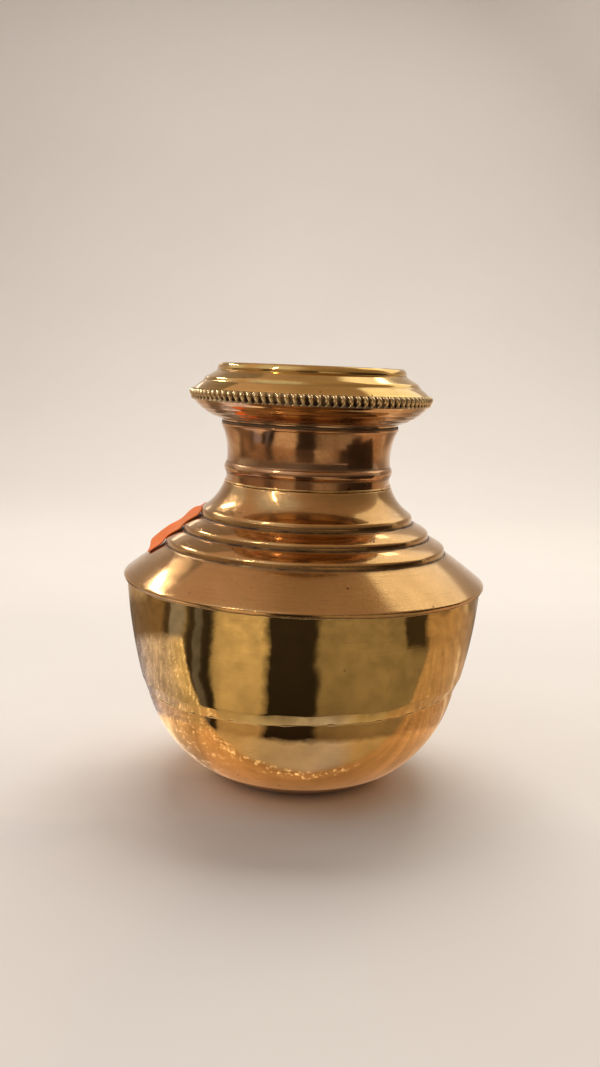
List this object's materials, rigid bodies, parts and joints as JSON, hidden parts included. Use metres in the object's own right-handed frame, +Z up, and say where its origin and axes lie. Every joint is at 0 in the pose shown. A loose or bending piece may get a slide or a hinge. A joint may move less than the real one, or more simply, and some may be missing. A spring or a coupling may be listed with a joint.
{
  "type": "brass kalash",
  "caption": "Round-bellied brass water pot with a stepped shoulder, waisted neck and hollow beaded rim, brazed together from sheet shells.",
  "frame": {"origin": "middle of the flat base, on the surface that the pot stands on", "axes": "+Z up along the axis that every shell is turned about; the picture looks along +Y, with +X to the right"},
  "size_m": [0.1798, 0.1798, 0.2071],
  "materials": {
    "bowl_brass": "polished by hand, fine scratches",
    "belly_braze_metal": "rough brazing metal",
    "wall_brass": "polished, fine upright lines",
    "shoulder_braze_metal": "rough brazing metal",
    "shoulder_brass": "polished, patches of tarnish",
    "neck_braze_metal": "rough brazing metal",
    "neck_brass": "polished, slightly coppery",
    "solder": "dull and dark",
    "underside_brass": "turned lines",
    "beaded_brass": "polished, dark between the beads",
    "rim_brass": "polished",
    "label_paper": "matt, blank"
  },
  "bodies": {
    "root": {"bottom_bowl": "bowl_brass", "belly_braze": "belly_braze_metal", "bowl_wall": "wall_brass", "shoulder_braze": "shoulder_braze_metal", "shoulder": "shoulder_brass", "neck_braze": "neck_braze_metal", "neck": "neck_brass", "rim_solder": "solder", "rim_underside": "underside_brass", "beaded_edge": "beaded_brass", "rim_top": "rim_brass", "price_label": "label_paper"}
  },
  "joints": []
}
